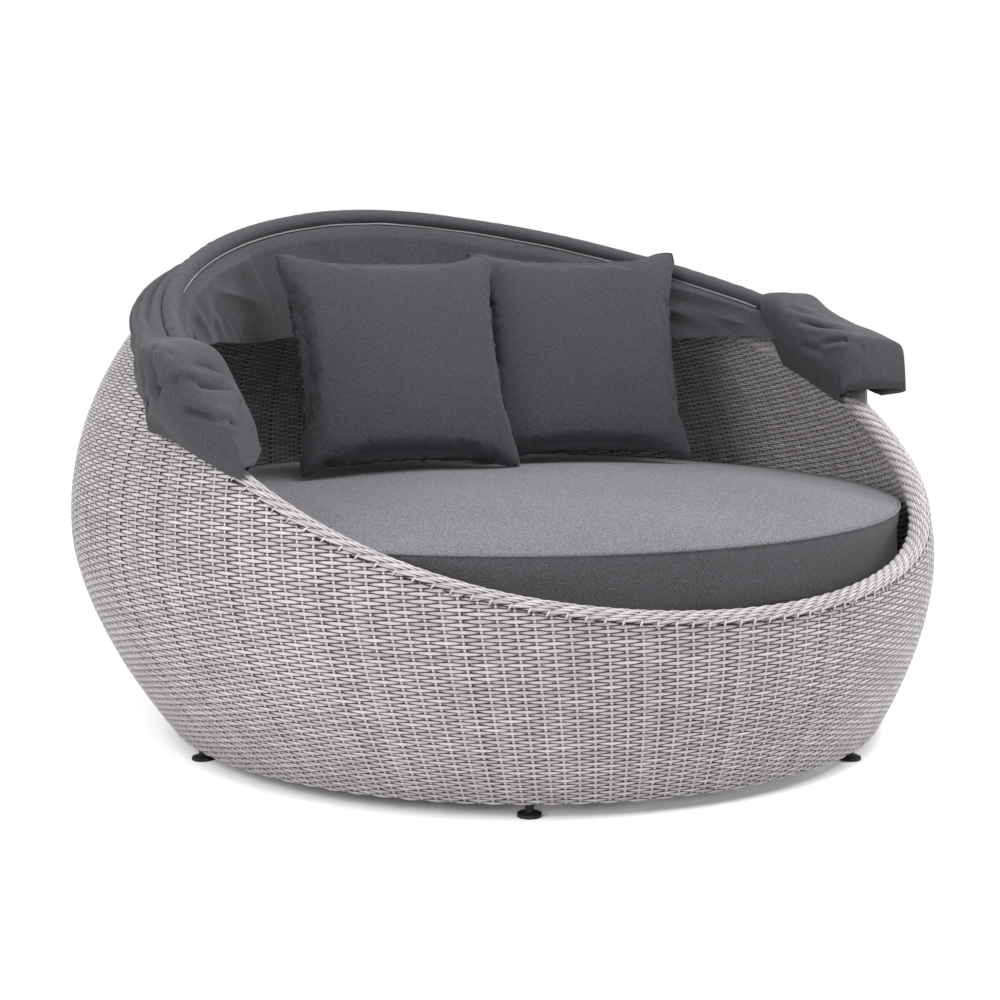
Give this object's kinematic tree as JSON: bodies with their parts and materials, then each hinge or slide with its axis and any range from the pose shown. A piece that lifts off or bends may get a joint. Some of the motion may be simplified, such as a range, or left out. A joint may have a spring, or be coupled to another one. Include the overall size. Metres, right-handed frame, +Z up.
{
  "type": "outdoor daybed with canopy",
  "caption": "Round outdoor daybed: a leaning woven bowl on a tube frame with a round seat cushion, scatter pillows and a fabric canopy on bows that fold back over the high rear rim.",
  "frame": {"origin": "centre of the base ring, on the floor, at the underside of the centre foot", "axes": "+Z up; the low front of the bowl faces -Y; +X is to the right when facing +Y from the front"},
  "size_m": [1.7978, 1.8273, 1.0842],
  "materials": {
    "weave": "extruded synthetic wicker, satin",
    "frame": "powder coated",
    "bow": "mill finish tube",
    "steel": "stainless",
    "foot": "moulded",
    "seat_cloth": "heathered outdoor weave",
    "pillow_cloth": "heathered outdoor weave",
    "canopy_cloth": "heathered outdoor weave"
  },
  "bodies": {
    "daybed_frame": {"outer_weave": "weave", "inner_weave": "weave", "rim_braid": "weave", "base_ring": "frame", "deck_ring": "frame", "rim_tube": "frame", "centre_post": "frame", "deck_rail": "frame", "wall_rib_1": "frame", "wall_rib_2": "frame", "wall_rib_3": "frame", "wall_rib_4": "frame", "wall_rib_5": "frame", "wall_rib_6": "frame", "wall_rib_7": "frame", "wall_rib_8": "frame", "wall_rib_9": "frame", "wall_rib_10": "frame", "wall_rib_11": "frame", "wall_rib_12": "frame", "deck_slat_1": "frame", "deck_slat_2": "frame", "deck_slat_3": "frame", "deck_slat_4": "frame", "deck_slat_5": "frame", "deck_slat_6": "frame", "deck_slat_7": "frame", "deck_slat_8": "frame", "deck_slat_9": "frame", "foot_glide_1": "foot", "foot_glide_2": "foot", "foot_glide_3": "foot", "foot_glide_4": "foot", "foot_glide_5": "foot", "foot_glide_6": "foot", "centre_foot": "foot", "seat_cushion": "seat_cloth", "right_canopy_bracket": "frame", "left_canopy_bracket": "frame", "right_pivot_bolt": "steel", "right_pivot_cap_nut": "steel", "right_inner_pivot_spacer": "steel", "right_outer_pivot_spacer": "steel", "left_pivot_bolt": "steel", "left_pivot_cap_nut": "steel", "left_inner_pivot_spacer": "steel", "left_outer_pivot_spacer": "steel", "right_canopy_boot": "canopy_cloth", "left_canopy_boot": "canopy_cloth"},
    "canopy_rear": {"rear_canopy_bow": "bow", "canopy_rear_panel": "canopy_cloth"},
    "canopy_middle": {"middle_canopy_bow": "bow", "canopy_middle_panel": "canopy_cloth"},
    "canopy_front": {"front_canopy_bow": "bow", "canopy_front_sleeve": "canopy_cloth", "canopy_front_panel": "canopy_cloth"},
    "left_pillow": {"left_pillow": "pillow_cloth"},
    "right_pillow": {"right_pillow": "pillow_cloth"}
  },
  "joints": [
    {"name": "rear_bow_hinge", "type": "hinge", "parent": "daybed_frame", "child": "canopy_rear", "pos_m": [0, -0.155, 0.7685], "axis": [1, 0, 0], "range_deg": [0, 33], "deforming": ["canopy_rear_panel", "right_canopy_boot", "left_canopy_boot"]},
    {"name": "middle_bow_hinge", "type": "hinge", "parent": "canopy_rear", "child": "canopy_middle", "pos_m": [0, -0.155, 0.7685], "axis": [1, 0, 0], "range_deg": [0, 33], "deforming": ["canopy_middle_panel"]},
    {"name": "front_bow_hinge", "type": "hinge", "parent": "canopy_middle", "child": "canopy_front", "pos_m": [0, -0.155, 0.7685], "axis": [1, 0, 0], "range_deg": [0, 33], "deforming": ["canopy_front_panel"]},
    {"name": "left_pillow_lift", "type": "slide", "parent": "daybed_frame", "child": "left_pillow", "axis": [0, -0.7071, 0.7071], "range_m": [0, 0.25]},
    {"name": "right_pillow_lift", "type": "slide", "parent": "daybed_frame", "child": "right_pillow", "axis": [0, -0.7071, 0.7071], "range_m": [0, 0.25]}
  ],
  "couplings": [
    {"joint": "middle_bow_hinge", "follows": "rear_bow_hinge", "ratio": 1},
    {"joint": "front_bow_hinge", "follows": "rear_bow_hinge", "ratio": 1},
    {"joint": "right_pillow_lift", "follows": "left_pillow_lift", "ratio": 1}
  ]
}
